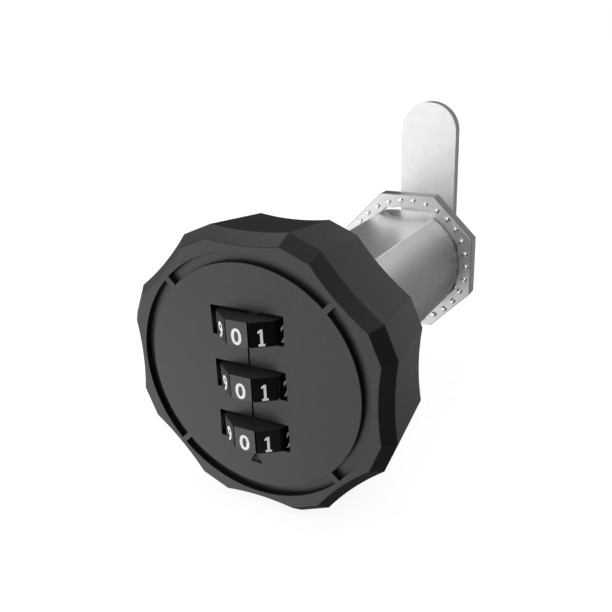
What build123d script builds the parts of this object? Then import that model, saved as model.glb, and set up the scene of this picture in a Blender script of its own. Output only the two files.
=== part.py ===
from build123d import *
import os
from math import cos, hypot, radians, sin

# Combination locker lock: a faceted knob with three number wheels, a threaded
# barrel with one flat, an octagonal panel nut and a straight cam.
# Millimetres. +X is the user's right, +Y runs from the knob to the cam, +Z is up.
# The origin is on the barrel's axis, in the plane where the lock seats on its panel.

# Knob, whose width follows from the wheels and walls inside it
knob_thickness = 12.15
face_chamfer_width = 1.34
face_chamfer_depth = 1.65
back_chamfer_width = 1.2
knob_sides = 8
short_side_half_angle = 6.5
side_sag = 0.38
side_wall = 1.5
rim_wall = 2.2
face_wall = 1.2
panel_gap = 0.3

# Marks on the knob's face
groove_width = 1.3
groove_depth = 0.8
groove_margin = 0.67
groove_bridge = 0.8
groove_bridges = 4
index_line_width = 0.25
index_line_depth = 0.25
pointer_width = 1.7
pointer_height = 1.7
pointer_inset = 3.0
pointer_recess = 0.5

# Number wheels and the parts on their axle
wheel_count = 3
wheel_spacing = 7.0
wheel_drop = 0.2
wheel_digits = 10
wheel_corner_radius = 5.05
wheel_height = 3.1
wheel_axis_depth = 2.64
wheel_web = 0.6
axle_radius = 0.8
tube_wall = 0.5
hub_radius = 2.9
spline_radius = 3.6
spline_length = 0.9
spline_width = 0.8
sleeve_splines = 5
gate_width = 1.2
gate_floor_radius = 1.7
code_travel = 1.1
spring_length = 2.9
spring_wire = 0.4
spring_turns = 3.5

# Wheel cradle, detent spring and their rivets
cradle_wall = 1.0
ear_half_width = 2.4
ear_thickness = 1.0
leaf_thickness = 0.3
leaf_base_width = 2.0
finger_height = 2.2
finger_tip_angle = 162
rivet_radius = 0.45
rivet_head_radius = 0.8
rivet_head_height = 0.35

# Fence, whose pin follows the track in the barrel's flange
fence_travel = 1.6
fence_thickness = 1.6
fence_arm_height = 1.2
fence_tooth_width = 1.0
fence_tooth_depth = 0.75
fence_spine_gap = 0.65
fence_spine_width = 1.5
follower_radius = 0.6

# Back plate and its countersunk screws
plate_thickness = 1.3
screw_angles = (30, 150, 210, 330)
screw_radius = 0.95
screw_head_radius = 1.8
screw_length = 5.5
screw_margin = 0.33
countersink_angle = 45
boss_radius = 2.2

# Barrel
barrel_radius = 9.5
barrel_flat_depth = 1.45
barrel_length = 41.5
barrel_end_chamfer = 0.6
barrel_relief_radius = 6.0
relief_taper = 3.0
bearing_length = 6.0
flange_margin = 0.63
flange_thickness = 1.8
track_depth = 1.1
neck_radius = 6.8
neck_length = 4.3
stop_wall = 1.6
stop_height = 1.5
stop_angle = 40
stop_start = 180

# Spindle, cam and what clamps it
turn_angle = 90
spindle_radius = 4.5
spindle_head_radius = 6.1
spindle_head_height = 0.6
spindle_key_half_width = 3.8
spindle_square = 6.0
stop_washer_radius = 6.6
stop_washer_thickness = 2.0
cam_width = 10.1
cam_reach = 25.9
cam_tail = 6.5
cam_thickness = 2.0
flat_washer_radius = 4.9
flat_washer_thickness = 0.8
split_washer_radius = 3.6
split_washer_thickness = 0.9
split_washer_gap = 0.7
cam_screw_radius = 1.95
cam_screw_length = 11.0
cam_screw_hex = 7.0
cam_screw_head = 2.5

# Panel nut
nut_sides = 8
nut_wall = 2.1
nut_thread_bite = 0.25
nut_thickness = 2.5
nut_to_barrel_end = 3.6
nut_dots = 30
nut_dot_to_barrel = 1.3
nut_dot_radius = 0.45
nut_dot_sink = 0.17

# Clearances
running_fit = 0.05
guide_gap = 0.2
end_play = 0.05
thrust_gap = 0.3
tooth_rest_gap = 0.6
finger_gap = 0.08
stop_clearance_angle = 2

# Planes across the barrel's axis, by their distance along it
knob_back = -panel_gap
knob_front = knob_back - knob_thickness
knob_rim = knob_front + face_chamfer_depth
cavity_front = knob_front + rim_wall
pocket_front = knob_front + face_wall
flange_front = -flange_thickness
plate_back = flange_front - thrust_gap
plate_front = plate_back - plate_thickness
cradle_front = plate_front - cradle_wall
wheel_axis = knob_front + wheel_axis_depth
neck_end = barrel_length + neck_length
washer_front = neck_end + guide_gap
cam_front = washer_front + stop_washer_thickness
cam_back = cam_front + cam_thickness
flat_washer_back = cam_back + flat_washer_thickness
split_washer_back = flat_washer_back + split_washer_thickness
square_end = cam_back - guide_gap
nut_front = barrel_length - nut_to_barrel_end

# Number wheels, their sleeves and the stack they make on the axle
tube_radius = axle_radius + running_fit + tube_wall
wheel_bore = hub_radius + 2 * running_fit
wheel_ring_height = spline_length + end_play
wheel_free_bore = spline_radius + guide_gap
window_width = 2 * wheel_corner_radius - guide_gap
window_height = wheel_height + 2 * thrust_gap
hub_height = wheel_height - wheel_web - code_travel - 2 * end_play
sleeve_height = wheel_height + guide_gap
wheel_heights = {
    "bottom": -wheel_drop - wheel_spacing,
    "middle": -wheel_drop,
    "top": -wheel_drop + wheel_spacing,
}
stack_bottom = wheel_heights["bottom"] - wheel_height / 2
stack_top = wheel_heights["top"] - wheel_height / 2 + sleeve_height
spring_seat = stack_top + spring_length

# Fence, its track and the cradle's ears just beyond them
spine_inner = wheel_corner_radius + fence_spine_gap
spine_outer = spine_inner + fence_spine_width
arm_top = -wheel_height / 2 - guide_gap - fence_travel
spine_bottom = wheel_heights["bottom"] + arm_top - fence_arm_height
spine_top = wheel_heights["top"] + arm_top
follower_height = spine_bottom + fence_arm_height / 2
track_start_radius = -follower_height
track_end_radius = track_start_radius - fence_travel
track_width = 2 * (follower_radius + guide_gap / 2)
cradle_half_width = spine_outer + guide_gap + ear_thickness
ear_reach = guide_gap + end_play - spine_bottom
leaf_base_height = (wheel_count - 1) * wheel_spacing + 2 * finger_height

# Knob's radii from the cradle outwards, and what they leave for the plate and flange
side_pitch = 360 / knob_sides
long_side_half_angle = side_pitch / 2 - short_side_half_angle
side_flatness = cos(radians(long_side_half_angle))
pocket_radius = hypot(ear_half_width, ear_reach + ear_thickness) + guide_gap
groove_inner_radius = pocket_radius + face_wall
face_flat_radius = groove_inner_radius + groove_width + groove_margin
face_corner_radius = (face_flat_radius + side_sag) / side_flatness
knob_corner_radius = face_corner_radius + face_chamfer_width
back_corner_radius = knob_corner_radius - back_chamfer_width
cavity_radius = back_corner_radius * side_flatness - side_sag - side_wall
screw_ring_radius = cavity_radius - screw_head_radius - screw_margin
flange_radius = cavity_radius - flange_margin

os.makedirs("parts", exist_ok=True)


def front_plane(distance):
    """Plane across the barrel's axis that faces the user, with X right and Z up."""
    return Plane.XZ.offset(-distance)


def wheel_plane(height):
    """Level plane centred on the wheels' axle."""
    return Plane(origin=(0, wheel_axis, height))


def polar(radius, angle):
    """Point at a radius and an angle from +X."""
    return (radius * cos(radians(angle)), radius * sin(radians(angle)))


def knob_outline(corner_radius):
    """Closed outline of short flats between long sides that curve inwards."""
    long_middle = corner_radius * side_flatness - side_sag
    for side in range(knob_sides):
        short_middle = side_pitch * (side + 0.5)
        flat_start = polar(corner_radius, short_middle - short_side_half_angle)
        flat_end = polar(corner_radius, short_middle + short_side_half_angle)
        side_end_angle = short_middle + side_pitch - short_side_half_angle
        side_middle = polar(long_middle, short_middle + side_pitch / 2)
        Line(flat_start, flat_end)
        ThreePointArc(flat_end, side_middle, polar(corner_radius, side_end_angle))


def ring_sector(inner_radius, outer_radius, start_angle, sweep_angle):
    """Closed outline of a piece of a flat ring."""
    middle_angle = start_angle + sweep_angle / 2
    end_angle = start_angle + sweep_angle
    outer_start = polar(outer_radius, start_angle)
    outer_end = polar(outer_radius, end_angle)
    inner_start = polar(inner_radius, start_angle)
    inner_end = polar(inner_radius, end_angle)
    ThreePointArc(outer_start, polar(outer_radius, middle_angle), outer_end)
    Line(outer_end, inner_end)
    ThreePointArc(inner_end, polar(inner_radius, middle_angle), inner_start)
    Line(inner_start, outer_start)


# Knob housing: one faceted casting with the face, its groove and the windows
screw_places = [polar(screw_ring_radius, angle) for angle in screw_angles]
pointer_edge = hypot(pointer_width / 2, pointer_height)

with BuildPart() as knob_housing:
    with BuildSketch(front_plane(knob_back)):
        with BuildLine():
            knob_outline(back_corner_radius)
        make_face()
    with BuildSketch(front_plane(knob_rim)):
        with BuildLine():
            knob_outline(knob_corner_radius)
        make_face()
    with BuildSketch(front_plane(knob_front)):
        with BuildLine():
            knob_outline(face_corner_radius)
        make_face()
    loft(ruled=True)
    # Cavity, open at the back, with a deeper pocket inside the groove
    with BuildSketch(front_plane(knob_back)):
        Circle(cavity_radius)
    extrude(amount=knob_back - cavity_front, mode=Mode.SUBTRACT)
    with BuildSketch(front_plane(cavity_front)):
        Circle(pocket_radius)
    extrude(amount=cavity_front - pocket_front, mode=Mode.SUBTRACT)
    # Bosses for the back plate's screws
    with BuildSketch(front_plane(plate_front)):
        with Locations(*screw_places):
            Circle(boss_radius)
    extrude(amount=plate_front - cavity_front + face_wall / 2)
    with BuildSketch(front_plane(plate_front)):
        with Locations(*screw_places):
            Circle(screw_radius + running_fit)
    extrude(amount=screw_length, mode=Mode.SUBTRACT)
    # Ring groove, interrupted by four bridges
    with BuildSketch(front_plane(knob_front)):
        Circle(groove_inner_radius + groove_width)
        Circle(groove_inner_radius, mode=Mode.SUBTRACT)
        with PolarLocations(
            groove_inner_radius + groove_width / 2,
            groove_bridges,
            start_angle=side_pitch,
        ):
            Rectangle(2 * groove_width, groove_bridge, mode=Mode.SUBTRACT)
    extrude(amount=-groove_depth, mode=Mode.SUBTRACT)
    # Windows, with room behind the face for the turning wheels
    with BuildSketch(front_plane(knob_front)):
        with GridLocations(0, wheel_spacing, 1, wheel_count):
            Rectangle(window_width, window_height)
    extrude(amount=-rim_wall, mode=Mode.SUBTRACT)
    for height in wheel_heights.values():
        with Locations((0, wheel_axis, height + wheel_drop)):
            Cylinder(
                wheel_corner_radius + thrust_gap,
                window_height,
                mode=Mode.SUBTRACT,
            )
    # Index lines between the windows and the pointer below them
    with BuildSketch(front_plane(knob_front)):
        with GridLocations(0, wheel_spacing, 1, wheel_count - 1):
            Rectangle(index_line_width, wheel_spacing - window_height)
    extrude(amount=-index_line_depth, mode=Mode.SUBTRACT)
    with BuildSketch(front_plane(knob_front)):
        with Locations((0, pointer_inset - groove_inner_radius)):
            Triangle(
                a=pointer_width,
                b=pointer_edge,
                c=pointer_edge,
                align=(Align.CENTER, Align.MIN),
            )
    extrude(amount=-pointer_recess, mode=Mode.SUBTRACT)
    # Trough behind the face for the axle's tubes, and the code-setting hole below
    with Locations((0, wheel_axis, 0)):
        Cylinder(tube_radius + guide_gap, 2 * pocket_radius, mode=Mode.SUBTRACT)
    with BuildSketch(wheel_plane(-pocket_radius + tube_radius)):
        Circle(axle_radius + guide_gap / 2)
    extrude(amount=-knob_corner_radius, mode=Mode.SUBTRACT)
    with BuildSketch(wheel_plane(pocket_radius - tube_radius)):
        Circle(axle_radius + guide_gap)
    extrude(amount=code_travel + tube_radius, mode=Mode.SUBTRACT)
knob_housing.part.label = "knob_housing"
export_step(knob_housing.part, "parts/knob_housing.step")

# Back plate that closes the knob and carries the spindle
with BuildPart() as back_plate:
    with BuildSketch(front_plane(plate_back)):
        Circle(cavity_radius - guide_gap / 2)
    extrude(amount=plate_thickness)
    with BuildSketch(front_plane(plate_back)):
        Circle(spindle_radius + running_fit)
        Rectangle(
            2 * spindle_radius + guide_gap,
            2 * (spindle_key_half_width + running_fit),
            mode=Mode.INTERSECT,
        )
    extrude(amount=plate_thickness, mode=Mode.SUBTRACT)
    with BuildSketch(front_plane(plate_front)):
        Circle(spindle_head_radius + running_fit)
    extrude(amount=-spindle_head_height, mode=Mode.SUBTRACT)
    # Slot for the fence's follower pin
    with BuildSketch(front_plane(plate_back)):
        with Locations((0, follower_height + fence_travel / 2)):
            SlotCenterToCenter(fence_travel, track_width, rotation=90)
    extrude(amount=plate_thickness, mode=Mode.SUBTRACT)
    # Countersunk screw holes
    with BuildSketch(front_plane(plate_back)):
        with Locations(*screw_places):
            Circle(screw_head_radius + running_fit)
    extrude(
        amount=screw_head_radius - screw_radius,
        taper=countersink_angle,
        mode=Mode.SUBTRACT,
    )
    with BuildSketch(front_plane(plate_back)):
        with Locations(*screw_places):
            Circle(screw_radius + running_fit)
    extrude(amount=plate_thickness, mode=Mode.SUBTRACT)
back_plate.part.label = "back_plate"
export_step(back_plate.part, "parts/back_plate.step")

# Four countersunk screws, alike, in one group
with BuildPart() as plate_screws:
    with BuildSketch(front_plane(plate_back)):
        with Locations(*screw_places):
            Circle(screw_head_radius)
    extrude(amount=screw_head_radius - screw_radius, taper=countersink_angle)
    with BuildSketch(front_plane(plate_back)):
        with Locations(*screw_places):
            Circle(screw_radius)
    extrude(amount=screw_length)
plate_screws.part.label = "plate_screws"
export_step(plate_screws.part, "parts/plate_screws.step")

# Number wheels: ten facets, an open underside with clutch notches, a web on top
for place, height in wheel_heights.items():
    wheel_bottom = height - wheel_height / 2
    with BuildPart() as number_wheel:
        with BuildSketch(wheel_plane(wheel_bottom)):
            RegularPolygon(wheel_corner_radius, wheel_digits)
        extrude(amount=wheel_height)
        with BuildSketch(wheel_plane(wheel_bottom)):
            Circle(wheel_bore)
            with PolarLocations((wheel_bore + spline_radius) / 2, wheel_digits):
                Rectangle(
                    spline_radius - wheel_bore + 2 * guide_gap,
                    spline_width + guide_gap,
                )
        extrude(amount=wheel_ring_height, mode=Mode.SUBTRACT)
        with BuildSketch(wheel_plane(wheel_bottom + wheel_ring_height)):
            Circle(wheel_free_bore)
        extrude(
            amount=wheel_height - wheel_web - wheel_ring_height,
            mode=Mode.SUBTRACT,
        )
        with BuildSketch(wheel_plane(wheel_bottom)):
            Circle(tube_radius + running_fit)
        extrude(amount=wheel_height, mode=Mode.SUBTRACT)
    number_wheel.part.label = f"number_wheel_{place}"
    export_step(number_wheel.part, f"parts/number_wheel_{place}.step")

# Code sleeves: a splined hub with one gate, and a tube on which the wheel turns
for place, height in wheel_heights.items():
    sleeve_bottom = height - wheel_height / 2
    with BuildPart() as code_sleeve:
        with BuildSketch(wheel_plane(sleeve_bottom)):
            Circle(hub_radius)
            with PolarLocations((hub_radius + spline_radius) / 2, sleeve_splines):
                Rectangle(spline_radius - hub_radius + guide_gap, spline_width)
            Circle(spline_radius, mode=Mode.INTERSECT)
        extrude(amount=spline_length)
        with BuildSketch(wheel_plane(sleeve_bottom)):
            Circle(hub_radius)
        extrude(amount=hub_height)
        with BuildSketch(wheel_plane(sleeve_bottom)):
            with Locations((0, gate_floor_radius + spline_radius / 2)):
                Rectangle(gate_width, spline_radius)
        extrude(amount=hub_height, mode=Mode.SUBTRACT)
        with BuildSketch(wheel_plane(sleeve_bottom)):
            Circle(tube_radius)
        extrude(amount=sleeve_height)
        with BuildSketch(wheel_plane(sleeve_bottom)):
            Circle(axle_radius + running_fit)
        extrude(amount=sleeve_height, mode=Mode.SUBTRACT)
    code_sleeve.part.label = f"code_sleeve_{place}"
    export_step(code_sleeve.part, f"parts/code_sleeve_{place}.step")

# Two spacer tubes that keep the sleeves one pitch apart
with BuildPart() as sleeve_spacers:
    for height in (wheel_heights["bottom"], wheel_heights["middle"]):
        spacer_bottom = height - wheel_height / 2 + sleeve_height + end_play
        with BuildSketch(wheel_plane(spacer_bottom)):
            Circle(tube_radius)
            Circle(axle_radius + running_fit, mode=Mode.SUBTRACT)
        extrude(amount=wheel_spacing - sleeve_height - 2 * end_play)
sleeve_spacers.part.label = "sleeve_spacers"
export_step(sleeve_spacers.part, "parts/sleeve_spacers.step")

# Axle with the shoulder that lifts the sleeves when the code is set
with BuildPart() as wheel_axle:
    with BuildSketch(wheel_plane(-ear_reach - ear_thickness - guide_gap)):
        Circle(axle_radius)
    extrude(amount=spring_seat + ear_reach + 2 * ear_thickness + guide_gap)
    with BuildSketch(wheel_plane(-ear_reach)):
        Circle(tube_radius)
    extrude(amount=stack_bottom - end_play + ear_reach)
wheel_axle.part.label = "wheel_axle"
export_step(wheel_axle.part, "parts/wheel_axle.step")

# Spring that pushes the sleeves back into the wheels' notches
spring_radius = axle_radius + spring_wire
spring_bottom = stack_top + spring_wire / 2 + end_play
spring_height = spring_length - spring_wire - 2 * end_play

with BuildPart() as axle_spring:
    with BuildLine():
        Helix(
            spring_height / spring_turns,
            spring_height,
            spring_radius,
            center=(0, wheel_axis, spring_bottom),
        )
    with BuildSketch(
        Plane(
            origin=(spring_radius, wheel_axis, spring_bottom),
            z_dir=(0, 1, 0),
        )
    ):
        Circle(spring_wire / 2)
    sweep(is_frenet=True)
axle_spring.part.label = "axle_spring"
export_step(axle_spring.part, "parts/axle_spring.step")

# Cradle: a wall behind the wheels with two ears for the axle and a fence guide
fence_back = cradle_front - guide_gap
fence_front = wheel_axis + fence_thickness
leaf_base_middle = -cradle_half_width + leaf_base_width / 2 + guide_gap

with BuildPart() as wheel_cradle:
    with BuildSketch(front_plane(plate_front)):
        Rectangle(2 * cradle_half_width, 2 * (ear_reach + ear_thickness))
        Circle(cavity_radius - thrust_gap, mode=Mode.INTERSECT)
        with Locations((0, follower_height + fence_travel / 2)):
            SlotCenterToCenter(fence_travel, track_width, rotation=90, mode=Mode.SUBTRACT)
        with Locations((leaf_base_middle, 0)):
            with GridLocations(0, wheel_spacing, 1, 2):
                Circle(rivet_radius + running_fit, mode=Mode.SUBTRACT)
    extrude(amount=cradle_wall)
    # Ears, the lower one just under the axle's shoulder
    for ear_bottom in (-ear_reach - ear_thickness, spring_seat):
        with BuildSketch(Plane.XY.offset(ear_bottom)):
            with Locations((0, (pocket_front + end_play + plate_front) / 2)):
                Rectangle(2 * ear_half_width, plate_front - pocket_front - end_play)
            with Locations((0, wheel_axis)):
                Circle(axle_radius + running_fit, mode=Mode.SUBTRACT)
        extrude(amount=ear_thickness)
    # Lip that guides the fence's spine
    with BuildSketch(front_plane(cradle_front)):
        with Locations((spine_outer + guide_gap + ear_thickness / 2, 0)):
            Rectangle(ear_thickness, wheel_spacing)
    extrude(amount=cradle_front - fence_front)
wheel_cradle.part.label = "wheel_cradle"
export_step(wheel_cradle.part, "parts/wheel_cradle.step")

# Detent spring: a leaf with one bent finger on each wheel
finger_reach = wheel_corner_radius + leaf_thickness / 2 + finger_gap
finger_tip_x, finger_tip_y = polar(finger_reach, finger_tip_angle)
leaf_middle = cradle_front - leaf_thickness / 2
leaf_edge = leaf_base_middle + leaf_base_width / 2

with BuildPart() as detent_spring:
    with BuildSketch(front_plane(cradle_front)):
        with Locations((leaf_base_middle, 0)):
            Rectangle(leaf_base_width, leaf_base_height)
            with GridLocations(0, wheel_spacing, 1, 2):
                Circle(rivet_radius + running_fit, mode=Mode.SUBTRACT)
    extrude(amount=leaf_thickness)
    for height in wheel_heights.values():
        with BuildSketch(Plane.XY.offset(height - finger_height / 2)):
            with BuildLine():
                Polyline(
                    (leaf_base_middle, leaf_middle),
                    (leaf_edge, leaf_middle),
                    (finger_tip_x, wheel_axis + finger_tip_y),
                    (finger_tip_x - leaf_base_width / 2, wheel_axis + rivet_radius),
                )
            trace(line_width=leaf_thickness)
        extrude(amount=finger_height)
detent_spring.part.label = "detent_spring"
export_step(detent_spring.part, "parts/detent_spring.step")

# Two rivets that hold the detent spring, alike, in one group
leaf_front = cradle_front - leaf_thickness

with BuildPart() as detent_rivets:
    with BuildSketch(front_plane(leaf_front)):
        with Locations((leaf_base_middle, 0)):
            with GridLocations(0, wheel_spacing, 1, 2):
                Circle(rivet_head_radius)
    extrude(amount=rivet_head_height)
    with BuildSketch(front_plane(leaf_front)):
        with Locations((leaf_base_middle, 0)):
            with GridLocations(0, wheel_spacing, 1, 2):
                Circle(rivet_radius)
    extrude(amount=-leaf_thickness - cradle_wall)
detent_rivets.part.label = "detent_rivets"
export_step(detent_rivets.part, "parts/detent_rivets.step")

# Fence: a comb whose teeth enter the sleeves' gates as its pin follows the track
arm_length = spine_inner + fence_tooth_width / 2
arm_start = -fence_tooth_width / 2
tooth_front = wheel_axis + gate_floor_radius + thrust_gap
tooth_rest_top = -wheel_height / 2 - tooth_rest_gap

with BuildPart() as fence:
    with BuildSketch(Plane.XY.offset(spine_bottom)):
        with Locations(((spine_inner + spine_outer) / 2, (fence_front + fence_back) / 2)):
            Rectangle(fence_spine_width, fence_back - fence_front)
    extrude(amount=spine_top - spine_bottom)
    for height in wheel_heights.values():
        with BuildSketch(Plane.XY.offset(height + arm_top)):
            with Locations((arm_start, fence_front)):
                Rectangle(arm_length, fence_thickness, align=Align.MIN)
        extrude(amount=-fence_arm_height)
        with BuildSketch(Plane.XY.offset(height + arm_top)):
            with Locations((0, tooth_front + fence_tooth_depth / 2)):
                Rectangle(fence_tooth_width, fence_tooth_depth)
        extrude(amount=tooth_rest_top - arm_top)
    with BuildSketch(front_plane(flange_front + track_depth - guide_gap)):
        with Locations((0, follower_height)):
            Circle(follower_radius)
    extrude(amount=flange_front + track_depth - guide_gap - fence_front - fence_thickness / 2)
fence.part.label = "fence"
export_step(fence.part, "parts/fence.step")

# Barrel: flange with the fence's track, flatted body, neck with the turn stop
bore_radius = spindle_radius + running_fit

with BuildPart() as barrel:
    with BuildSketch(Plane.XY):
        with BuildLine():
            Polyline(
                (bore_radius, flange_front),
                (flange_radius, flange_front),
                (flange_radius, 0),
                (barrel_radius, 0),
                (barrel_radius, barrel_length - barrel_end_chamfer),
                (barrel_radius - barrel_end_chamfer, barrel_length),
                (neck_radius, barrel_length),
                (neck_radius, neck_end),
                (bore_radius, neck_end),
                (bore_radius, neck_end - bearing_length),
                (barrel_relief_radius, neck_end - bearing_length - relief_taper),
                (barrel_relief_radius, bearing_length),
                (bore_radius, bearing_length),
                close=True,
            )
        make_face()
    revolve(axis=Axis.Y)
    with BuildSketch(front_plane(barrel_length)):
        with Locations((0, 2 * barrel_radius - barrel_flat_depth)):
            Rectangle(2 * barrel_radius, 2 * barrel_radius)
    extrude(amount=barrel_length, mode=Mode.SUBTRACT)
    # Track that lifts the fence as the knob turns
    with BuildSketch(front_plane(flange_front)):
        with BuildLine(mode=Mode.PRIVATE) as track_line:
            ThreePointArc(
                polar(track_start_radius, -90),
                polar((track_start_radius + track_end_radius) / 2, -90 - turn_angle / 2),
                polar(track_end_radius, -90 - turn_angle),
            )
        SlotArc(track_line.edge(), track_width)
    extrude(amount=-track_depth, mode=Mode.SUBTRACT)
    # Stop for the quarter turn
    with BuildSketch(front_plane(neck_end)):
        with BuildLine():
            ring_sector(neck_radius - stop_wall, neck_radius, stop_start, stop_angle)
        make_face()
    extrude(amount=-stop_height)
barrel.part.label = "barrel"
export_step(barrel.part, "parts/barrel.step")

# Spindle: head in the back plate, round shaft, square end for the cam
with BuildPart() as spindle:
    with BuildSketch(front_plane(plate_front + spindle_head_height)):
        Circle(spindle_head_radius)
    extrude(amount=spindle_head_height)
    with BuildSketch(front_plane(plate_back)):
        Circle(spindle_radius)
        Rectangle(2 * spindle_radius, 2 * spindle_key_half_width, mode=Mode.INTERSECT)
    extrude(amount=plate_thickness - spindle_head_height)
    with BuildSketch(front_plane(washer_front)):
        Circle(spindle_radius)
    extrude(amount=washer_front - plate_back)
    with BuildSketch(front_plane(square_end)):
        Rectangle(spindle_square, spindle_square)
    extrude(amount=square_end - washer_front)
    with BuildSketch(front_plane(square_end)):
        Circle(cam_screw_radius + running_fit)
    extrude(amount=cam_screw_length, mode=Mode.SUBTRACT)
spindle.part.label = "spindle"
export_step(spindle.part, "parts/spindle.step")

# Stop washer: its cut-out runs against the stop on the barrel's neck
with BuildPart() as stop_washer:
    with BuildSketch(front_plane(cam_front)):
        Circle(stop_washer_radius)
        Rectangle(
            spindle_square + 2 * running_fit,
            spindle_square + 2 * running_fit,
            mode=Mode.SUBTRACT,
        )
        with BuildLine():
            ring_sector(
                neck_radius - stop_wall - guide_gap,
                neck_radius + guide_gap,
                stop_start - stop_clearance_angle,
                stop_angle + turn_angle + 2 * stop_clearance_angle,
            )
        make_face(mode=Mode.SUBTRACT)
    extrude(amount=stop_washer_thickness)
stop_washer.part.label = "stop_washer"
export_step(stop_washer.part, "parts/stop_washer.step")

# Cam: a straight bar with full round ends
with BuildPart() as cam:
    with BuildSketch(front_plane(cam_back)):
        with Locations((0, (cam_reach - cam_tail) / 2)):
            SlotOverall(cam_reach + cam_tail, cam_width, rotation=90)
        Rectangle(
            spindle_square + 2 * running_fit,
            spindle_square + 2 * running_fit,
            mode=Mode.SUBTRACT,
        )
    extrude(amount=cam_thickness)
cam.part.label = "cam"
export_step(cam.part, "parts/cam.step")

# Flat washer over the cam's square hole
with BuildPart() as flat_washer:
    with BuildSketch(front_plane(flat_washer_back)):
        Circle(flat_washer_radius)
        Circle(cam_screw_radius + guide_gap, mode=Mode.SUBTRACT)
    extrude(amount=flat_washer_thickness)
flat_washer.part.label = "flat_washer"
export_step(flat_washer.part, "parts/flat_washer.step")

# Split washer under the screw's head
with BuildPart() as split_washer:
    with BuildSketch(front_plane(split_washer_back)):
        Circle(split_washer_radius)
        Circle(cam_screw_radius + guide_gap, mode=Mode.SUBTRACT)
        with Locations((split_washer_radius, 0)):
            Rectangle(2 * split_washer_radius, split_washer_gap, mode=Mode.SUBTRACT)
    extrude(amount=split_washer_thickness)
split_washer.part.label = "split_washer"
export_step(split_washer.part, "parts/split_washer.step")

# Cam screw with a hexagon head
with BuildPart() as cam_screw:
    with BuildSketch(front_plane(split_washer_back + cam_screw_head)):
        RegularPolygon(cam_screw_hex / 2, 6, major_radius=False)
    extrude(amount=cam_screw_head)
    with BuildSketch(front_plane(split_washer_back)):
        Circle(cam_screw_radius)
    extrude(amount=cam_screw_length)
cam_screw.part.label = "cam_screw"
export_step(cam_screw.part, "parts/cam_screw.step")

# Panel nut: a thin octagon with an octagonal hole and a ring of raised dots
with BuildPart() as panel_nut:
    with BuildSketch(front_plane(nut_front + nut_thickness)):
        RegularPolygon(
            barrel_radius + nut_wall,
            nut_sides,
            major_radius=False,
            rotation=180 / nut_sides,
        )
        RegularPolygon(
            barrel_radius - nut_thread_bite,
            nut_sides,
            major_radius=False,
            rotation=180 / nut_sides,
            mode=Mode.SUBTRACT,
        )
        Circle(barrel_radius + running_fit, mode=Mode.SUBTRACT)
    extrude(amount=nut_thickness)
    with Locations(front_plane(nut_front + nut_dot_sink)):
        with PolarLocations(barrel_radius + nut_dot_to_barrel, nut_dots):
            Sphere(nut_dot_radius)
panel_nut.part.label = "panel_nut"
export_step(panel_nut.part, "parts/panel_nut.step")
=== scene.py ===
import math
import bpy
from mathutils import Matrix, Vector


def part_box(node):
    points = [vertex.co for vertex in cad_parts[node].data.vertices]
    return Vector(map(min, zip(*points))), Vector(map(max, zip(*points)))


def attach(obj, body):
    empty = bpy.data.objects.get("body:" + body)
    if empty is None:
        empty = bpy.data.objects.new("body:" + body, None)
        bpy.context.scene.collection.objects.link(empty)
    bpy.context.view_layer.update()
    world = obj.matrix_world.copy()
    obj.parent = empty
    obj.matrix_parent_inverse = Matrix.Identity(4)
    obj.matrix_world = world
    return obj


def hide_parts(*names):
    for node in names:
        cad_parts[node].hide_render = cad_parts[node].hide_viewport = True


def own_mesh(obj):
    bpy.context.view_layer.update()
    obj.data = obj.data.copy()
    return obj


bl_info = {
    "name": "Combination Locker Lock",
    "version": (1, 0, 0),
    "blender": (4, 5, 0),
    "location": "View3D > Sidebar > Locker Lock",
    "description": "Dresses a combination locker lock with its looks and finishes",
    "category": "Object",
}

from contextlib import contextmanager

import bmesh
import bpy
from bpy.props import FloatProperty, FloatVectorProperty, IntProperty, PointerProperty
from mathutils import Matrix, Vector

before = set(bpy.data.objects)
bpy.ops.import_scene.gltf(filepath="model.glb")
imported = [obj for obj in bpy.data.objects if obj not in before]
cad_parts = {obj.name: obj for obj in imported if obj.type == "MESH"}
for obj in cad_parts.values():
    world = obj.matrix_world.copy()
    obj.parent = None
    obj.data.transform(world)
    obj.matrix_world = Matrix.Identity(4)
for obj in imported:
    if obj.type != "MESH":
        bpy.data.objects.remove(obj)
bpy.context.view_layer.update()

# Metres in one millimetre, the distance below which two points are one, and the bend
# below which two faces are one
MM = 0.001
MERGE_DISTANCE = 0.001 * MM
MERGE_BEND = math.radians(0.4)

# The knob: the plane of its face and how near a point lies on it, the inner end of its
# faceted rim, the ring groove's band, and the box round the windows
FACE_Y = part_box("knob_housing")[0].y
FACE_REACH = 0.01 * MM
RIM_RADIUS = 16.3 * MM
GROOVE_BAND = (13.9 * MM, 16.3 * MM)
WINDOW_BAND = (1.0 * MM, 5.2 * MM)
WINDOWS_TOP = 9.2 * MM

# The number wheels: their axle's place and facets, how deep their rims are, what
# counts as an upright edge and as a corner, and how upright the normal of a side is
WHEELS = ("top", "middle", "bottom")
WHEEL_AXIS_Y = -9.81 * MM
FIGURES = 10
FACET_ANGLE = 2 * math.pi / FIGURES
WHEEL_RIM = 0.6 * MM
UPRIGHT_LENGTH = 1.0 * MM
CORNER_REACH = 0.02 * MM
NOTCH_REACH = 0.2 * MM
NOTCH_TURN = 0.01
SIDE_TILT = 0.7

# The barrel's round, its end and chamfer, and its thread: the finely stepped crest,
# where the thread starts, how far the cutters reach out, half the angle of the groove,
# and the largest angle that is shaded as smooth
BARREL_RADIUS = 9.5 * MM
BARREL_END_Y = 41.5 * MM
END_CHAMFER = 0.6 * MM
THREAD_CREST = 9.49 * MM
THREAD_START = 0.35 * MM
CUTTER_REACH = 0.06 * MM
THREAD_FLANK = math.radians(60)
THREAD_SMOOTH = math.radians(16)

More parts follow.
